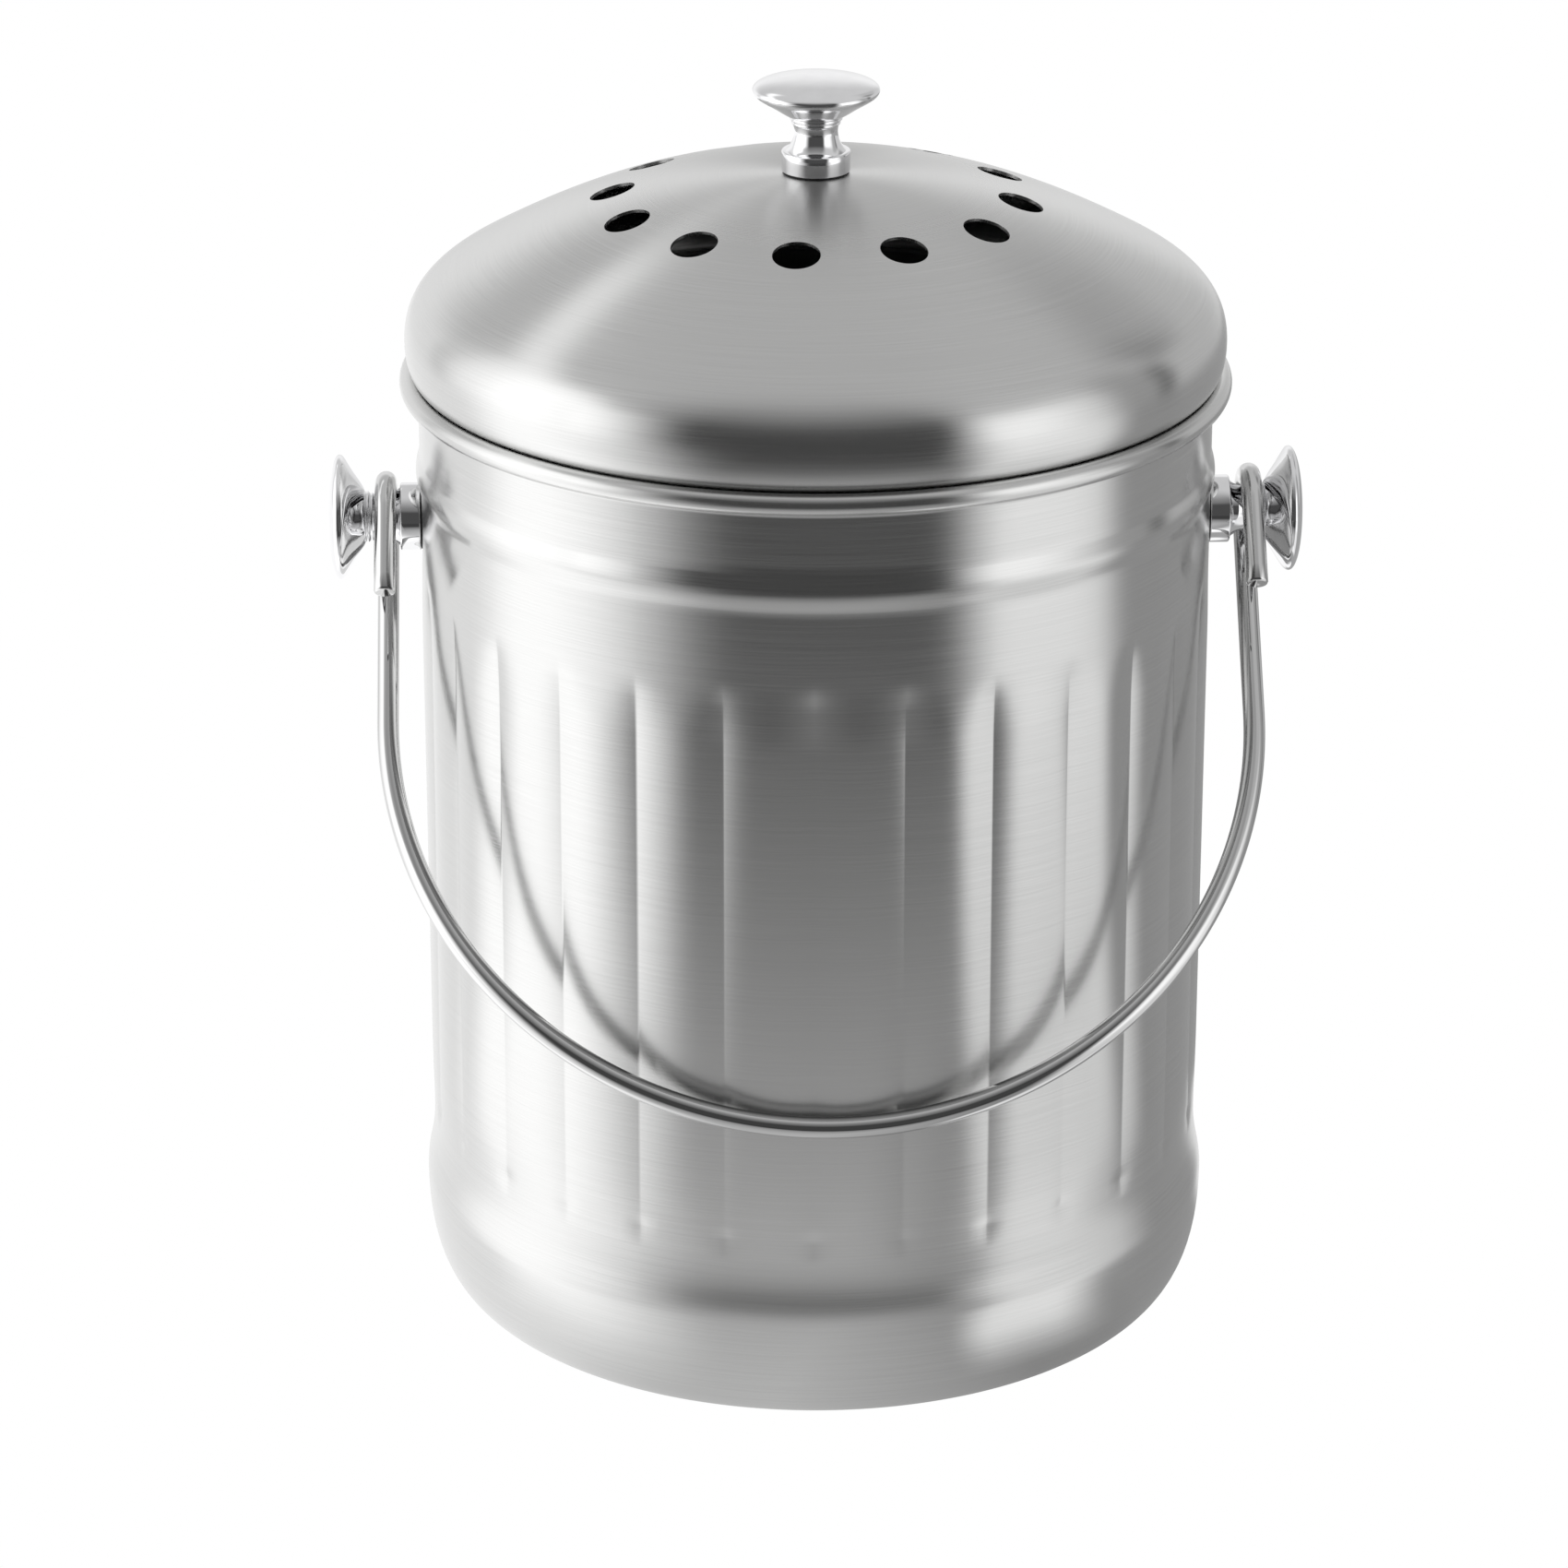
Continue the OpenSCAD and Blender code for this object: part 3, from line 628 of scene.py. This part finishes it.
pad = {
    "radius": 86.1, "low": 211.65, "thick": 8.0, "round": 3.0, "crown": 0.9, "flatR": 20,
    "columns": 160, "lowRows": 24, "topRows": 40, "edgeRows": 15,
    "broadX": 7.1, "broadY": 6.3, "smallX": 3.3, "smallY": 2.9, "smallShare": 0.6,
    "lumpDepth": 0.16, "lumpMiddle": 1.6,
}
rim = np.linspace(-math.pi / 2, math.pi / 2, pad["edgeRows"])
edgeIn = pad["radius"] - pad["round"]
edgeLine = np.stack([edgeIn + pad["round"] * np.cos(rim),
                     pad["low"] + pad["thick"] / 2 - pad["crown"] / 2
                     + (pad["thick"] - pad["crown"]) / 2 * np.sin(rim)], 1)
lowRadii = np.linspace(0, edgeIn, pad["lowRows"])[:-1]
topRadii = np.linspace(edgeIn, 0, pad["topRows"])[1:]
topLine = pad["low"] + pad["thick"] - pad["crown"] * smooth(topRadii, pad["flatR"], edgeIn)
padLine = np.concatenate([np.stack([lowRadii, 0 * lowRadii + pad["low"]], 1), edgeLine,
                          np.stack([topRadii, topLine], 1)])
padSkin = lathe(padLine, pad["columns"])
padX, padY = padSkin[..., 0], padSkin[..., 1]
lumps = (np.sin(padX / pad["broadX"] + 1) * np.sin(padY / pad["broadY"])
         + pad["smallShare"] * np.sin(padX / pad["smallX"]) * np.sin(padY / pad["smallY"] + 2))
upper = (np.arange(len(padLine)) >= len(lowRadii) + len(edgeLine))[:, None]
padSkin[..., 2] -= np.where(upper, pad["lumpDepth"] * (pad["lumpMiddle"] + lumps), 0)
padSkin[-1] = padSkin[-1].mean(0)
charcoal = addPiece("charcoalPad", [(padSkin, pathLength(padLine)[:, None])], "filter", ["charcoal_filter"])
charcoal.data.materials.append(felt)
print("filter pad made")

# CAD nodes that stay as they are get their materials

keptNodes = {"lid_skirt": innerSteel, "filter_tray": plastic}
for where in ("lid", "left", "right"):
    keptNodes[where + "_knob_washer"] = innerSteel
    keptNodes[where + "_knob_screw"] = innerSteel
for name, material in keptNodes.items():
    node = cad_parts[name]
    node.data.materials.clear()
    node.data.materials.append(material)

# Stage: a tent of soft light that reflections see and the camera doesn't. Directions are degrees from the
# camera's side, to the right, and above the horizon, and each card is an even patch with soft edges.

tent = {
    "radius": 1.5, "drop": 0.002, "zenith": 0.62, "dark": 0.07, "sky": 0.62, "skyFade": [50, 85],
    "riseShare": 0.2, "riseFirst": [34, 44], "riseThen": [38, 90],
    "front": {"from": -51, "softLeft": 18, "to": 40, "softRight": 9, "widen": 20, "widenFrom": [40, 80]},
    "cards": {
        "backLeft": {"from": -200, "to": -122, "soft": 8, "low": -30, "high": 30, "softUp": 10, "glow": 1.0},
        "ledge": {"from": -160, "to": -106, "soft": 6, "low": 48, "high": 55, "softUp": 3, "glow": 1.2},
        "leftWide": {"from": -120, "to": -72, "soft": 10, "low": -30, "high": 50, "softUp": 5, "glow": 1.3},
        "leftBox": {"from": -103, "to": -72, "soft": 10, "low": -30, "high": 46, "softUp": 7, "glow": 1.65},
        "leftNear": {"from": -75, "to": -34, "soft": 8, "low": -30, "high": 38, "softUp": 7, "glow": 1.62},
        "leftGap": {"from": -131, "to": -122, "soft": 4, "low": -30, "high": 40, "softUp": 8, "glow": 0.82},
        "rightBox": {"from": 22, "to": 75, "soft": 20, "low": -30, "high": 36, "softUp": 8, "glow": 1.36},
        "back": {"from": 150, "to": 200, "soft": 14, "low": -30, "high": 14, "softUp": 18, "glow": 0.8},
        "backRight": {"from": 115, "to": 136, "soft": 7, "low": 32, "high": 50, "softUp": 6, "glow": 0.32},
        "fanRight": {"from": 134, "to": 152, "soft": 6, "low": 34, "high": 53, "softUp": 6, "glow": 0.5},
        "rightGap": {"from": 85, "to": 103, "soft": 7, "low": -30, "high": 45, "softUp": 8, "glow": 0.42},
        "rightFlag": {"from": 102, "to": 111, "soft": 4, "low": -30, "high": 32, "softUp": 7, "glow": 0.2},
    },
}

table = {
    "front": {"from": -50, "softLeft": 28, "to": 41, "softRight": 7},
    "radius": 1.5, "nearR": 0.8, "nextR": 0.82, "drop": 0.0015,
    "middle": 0.61, "tilt": 0.0075, "darkest": 0.34, "lightest": 1.05, "backFade": [130, 180],
    "far": 0.05, "start": 0.77, "fall": 1.13, "narrow": 0.55, "narrowFrom": [0.11, 0.2],
    "widen": 7, "widenFrom": [0.5, 0.65],
    "cards": {
        "leftWide": {"from": -200, "to": -30, "soft": 12, "start": 0.085, "full": 0.11, "glow": 1.05},
        "leftBright": {"from": -102, "to": -34, "soft": 12, "start": 0.10, "full": 0.15, "glow": 1.52},
        "rightStrip": {"from": 25, "to": 82, "soft": 14, "start": 0.095, "full": 0.125, "glow": 1.15},
        "rightDim": {"from": 25, "to": 82, "soft": 14, "start": 0.15, "full": 0.2, "glow": 0.88},
        "rightFar": {"from": 25, "to": 82, "soft": 14, "start": 0.44, "full": 0.58, "glow": 1.15},
        "rightShade": {"from": 92, "to": 160, "soft": 12, "start": 0.0, "full": 0.01, "glow": 0.37},
    },
}


def window(value, low, high, soft):
    # 1 from low to high and 0 outside, with an edge twice soft wide on each side
    return smooth(value, low - soft, low + soft) * (1 - smooth(value, high - soft, high + soft))


def sideWindow(azimuth, low, high, soft):
    # The same window, also where it reaches round the back
    return np.clip(window(azimuth, low, high, soft) + window(azimuth - 360, low, high, soft)
                   + window(azimuth + 360, low, high, soft), 0, 1)


def frontShare(azimuth, f, widen):
    # The dark front, with an edge of its own softness on each side
    left, right = f["softLeft"] + widen, f["softRight"] + widen
    return (smooth(azimuth, f["from"] - left, f["from"] + left)
            * (1 - smooth(azimuth, f["to"] - right, f["to"] + right)))


def tentGlow(azimuth, height):
    # Each card is blended over what lies behind it, in the order of the list, and the dark front over them all
    first = tent["riseShare"]
    rise = first * smooth(height, *tent["riseFirst"]) + (1 - first) * smooth(height, *tent["riseThen"])
    front = tent["dark"] + (tent["zenith"] - tent["dark"]) * rise
    glow = tent["sky"] + (tent["zenith"] - tent["sky"]) * smooth(height, *tent["skyFade"])
    for card in tent["cards"].values():
        share = sideWindow(azimuth, card["from"], card["to"], card["soft"])
        share = share * window(height, card["low"], card["high"], card["softUp"])
        glow = glow + (card["glow"] - glow) * share
    widen = tent["front"]["widen"] * smooth(height, *tent["front"]["widenFrom"])
    return glow + (front - glow) * frontShare(azimuth, tent["front"], widen)


def floorGlow(azimuth, distance):
    # Near the pail every edge lies closer to the front, and the floor fades from left to right. The fade dies
    # out towards the back, where its two ends meet
    seen = np.clip(azimuth * (1 + table["narrow"] * (1 - smooth(distance, *table["narrowFrom"]))), -180, 180)
    turned = azimuth * (1 - smooth(np.abs(azimuth), *table["backFade"]))
    glow = np.clip(table["middle"] - table["tilt"] * turned, table["darkest"], table["lightest"])
    front = np.minimum(glow, np.maximum(table["start"] - table["fall"] * distance, table["far"]))
    for card in table["cards"].values():
        share = sideWindow(seen, card["from"], card["to"], card["soft"])
        share = share * smooth(distance, card["start"], card["full"])
        glow = glow + (card["glow"] - glow) * share
    widen = table["widen"] * smooth(distance, *table["widenFrom"])
    return glow + (front - glow) * frontShare(seen, table["front"], widen)


def glowPiece(name, points, glow):
    # An emitting grid that only reflections and light paths see, facing inward
    rows, columns = points.shape[:2]
    index = np.arange(rows * columns).reshape(rows, columns)
    quads = np.stack([index[:-1, :-1], index[1:, :-1], index[1:, 1:], index[:-1, 1:]], 2).reshape(-1, 4)
    mesh = bpy.data.meshes.new(name)
    mesh.from_pydata(points.reshape(-1, 3).tolist(), [], quads.tolist())
    attribute = mesh.attributes.new("glow", "FLOAT", "POINT")
    attribute.data.foreach_set("value", glow.ravel().astype(np.float32))
    material, add = newMaterial(name)
    strength = add("ShaderNodeAttribute", attribute_name="glow").outputs["Fac"]
    light = add("ShaderNodeEmission", {"Color": (1, 1, 1, 1), "Strength": strength})
    add("ShaderNodeOutputMaterial", {"Surface": light.outputs[0]})
    material.cycles.emission_sampling = "NONE"
    mesh.materials.append(material)
    piece = bpy.data.objects.new(name, mesh)
    bpy.context.scene.collection.objects.link(piece)
    piece.visible_camera = False
    piece.visible_shadow = False
    return piece


azimuths = np.linspace(-180, 180, 361)
elevations = np.concatenate([np.arange(0, 60, 2.0), np.arange(60, 91, 6.0)])
azimuthGrid, elevationGrid = np.meshgrid(azimuths, elevations)
turnGrid, riseGrid = np.radians(azimuthGrid), np.radians(elevationGrid)
shell = tent["radius"] * np.stack([np.sin(turnGrid) * np.cos(riseGrid), -np.cos(turnGrid) * np.cos(riseGrid),
                                   np.sin(riseGrid)], 2)
shell[..., 2] -= tent["drop"]
glowPiece("lightTent", shell, tentGlow(azimuthGrid, elevationGrid))
distances = np.concatenate([np.linspace(0, table["nearR"], 60),
                            np.linspace(table["nextR"], table["radius"], 20)])
azimuthGrid, distanceGrid = np.meshgrid(azimuths, distances)
turnGrid = np.radians(azimuthGrid)
ground = np.stack([np.sin(turnGrid) * distanceGrid, -np.cos(turnGrid) * distanceGrid,
                   0 * turnGrid - table["drop"]], 2)
glowPiece("glowFloor", ground, floorGlow(azimuthGrid, distanceGrid))

# World: white behind the object

world = bpy.data.worlds.new("studio")
bpy.context.scene.world = world
world.use_nodes = True
background = world.node_tree.nodes["Background"]
background.inputs["Color"].default_value = (1, 1, 1, 1)
background.inputs["Strength"].default_value = 1.0
print("stage made")

# Camera: place in metres, and its angles in degrees below the horizon and to the left

view = {
    "place": (-0.04587, -1.2727, 0.6298), "down": 21.748, "left": -1.74,
    "lens": 133.94, "sensor": 36, "nearest": 0.05,
}
camera = bpy.data.objects.new("camera", bpy.data.cameras.new("camera"))
bpy.context.scene.collection.objects.link(camera)
camera.location = view["place"]
camera.rotation_euler = (math.radians(90 - view["down"]), 0, math.radians(view["left"]))
camera.data.lens = view["lens"]
camera.data.sensor_width = view["sensor"]
camera.data.clip_start = view["nearest"]
bpy.context.scene.camera = camera
bpy.context.scene.view_settings.view_transform = "Standard"
